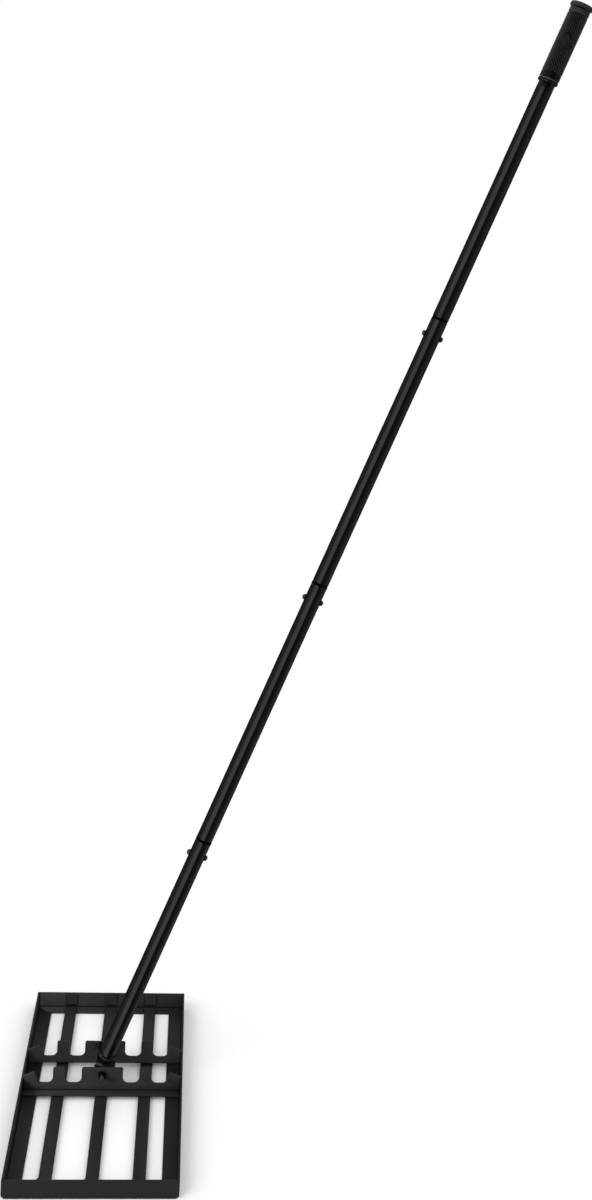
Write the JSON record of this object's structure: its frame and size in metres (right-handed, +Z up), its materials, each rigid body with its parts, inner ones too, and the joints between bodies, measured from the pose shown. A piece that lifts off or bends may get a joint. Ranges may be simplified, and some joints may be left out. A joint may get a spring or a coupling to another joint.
{
  "type": "lawn leveling rake",
  "caption": "Long handled lawn leveling rake: low rectangular steel frame with long straps and scalloped cross walls, and a jointed tube handle that swings on a cross bolt.",
  "frame": {"origin": "on the ground under the middle of the front flange", "axes": "+Z up, +Y along the long side of the frame to the rear, +X to the right, the side to which the handle leans"},
  "size_m": [0.7902, 0.432, 1.7522],
  "materials": {
    "frame_paint": "satin black powder coat",
    "tube_paint": "gloss black paint",
    "fasteners": "dark zinc plate",
    "buttons": "dark nickel plate, smooth",
    "spring_steel": "spring steel strip",
    "grip_rubber": "black moulded rubber with a soft sheen"
  },
  "bodies": {
    "base": {"rim_left": "frame_paint", "rim_right": "frame_paint", "rim_front": "frame_paint", "rim_rear": "frame_paint", "strap_left": "frame_paint", "strap_middle": "frame_paint", "strap_right": "frame_paint", "cross_wall_front": "frame_paint", "cross_wall_rear": "frame_paint", "pivot_bolt": "fasteners", "pivot_nut": "fasteners", "spacer_front": "fasteners", "spacer_rear": "fasteners"},
    "handle": {"yoke": "frame_paint", "lower_tube": "tube_paint", "lower_middle_tube": "tube_paint", "upper_middle_tube": "tube_paint", "upper_tube": "tube_paint", "grip": "grip_rubber", "spring_lower": "spring_steel", "spring_middle": "spring_steel", "spring_upper": "spring_steel"},
    "button_lower_left": {"button_lower_left": "buttons"},
    "button_lower_right": {"button_lower_right": "buttons"},
    "button_middle_left": {"button_middle_left": "buttons"},
    "button_middle_right": {"button_middle_right": "buttons"},
    "button_upper_left": {"button_upper_left": "buttons"},
    "button_upper_right": {"button_upper_right": "buttons"}
  },
  "joints": [
    {"name": "handle_pivot", "type": "hinge", "parent": "base", "child": "handle", "pos_m": [0, 0.237, 0.0345], "axis": [0, 1, 0], "range_deg": [-107.2, 65.8]},
    {"name": "press_lower_left", "type": "slide", "parent": "handle", "child": "button_lower_left", "axis": [0.9354, 0, -0.3535], "range_m": [0, 0.00545], "stiffness_N_per_m": 900, "springref_m": -0.003, "deforming": ["spring_lower"]},
    {"name": "press_lower_right", "type": "slide", "parent": "handle", "child": "button_lower_right", "axis": [-0.9354, 0, 0.3535], "range_m": [0, 0.00545], "stiffness_N_per_m": 900, "springref_m": -0.003, "deforming": ["spring_lower"]},
    {"name": "press_middle_left", "type": "slide", "parent": "handle", "child": "button_middle_left", "axis": [0.9354, 0, -0.3535], "range_m": [0, 0.00545], "stiffness_N_per_m": 900, "springref_m": -0.003, "deforming": ["spring_middle"]},
    {"name": "press_middle_right", "type": "slide", "parent": "handle", "child": "button_middle_right", "axis": [-0.9354, 0, 0.3535], "range_m": [0, 0.00545], "stiffness_N_per_m": 900, "springref_m": -0.003, "deforming": ["spring_middle"]},
    {"name": "press_upper_left", "type": "slide", "parent": "handle", "child": "button_upper_left", "axis": [0.9354, 0, -0.3535], "range_m": [0, 0.00545], "stiffness_N_per_m": 900, "springref_m": -0.003, "deforming": ["spring_upper"]},
    {"name": "press_upper_right", "type": "slide", "parent": "handle", "child": "button_upper_right", "axis": [-0.9354, 0, 0.3535], "range_m": [0, 0.00545], "stiffness_N_per_m": 900, "springref_m": -0.003, "deforming": ["spring_upper"]}
  ]
}
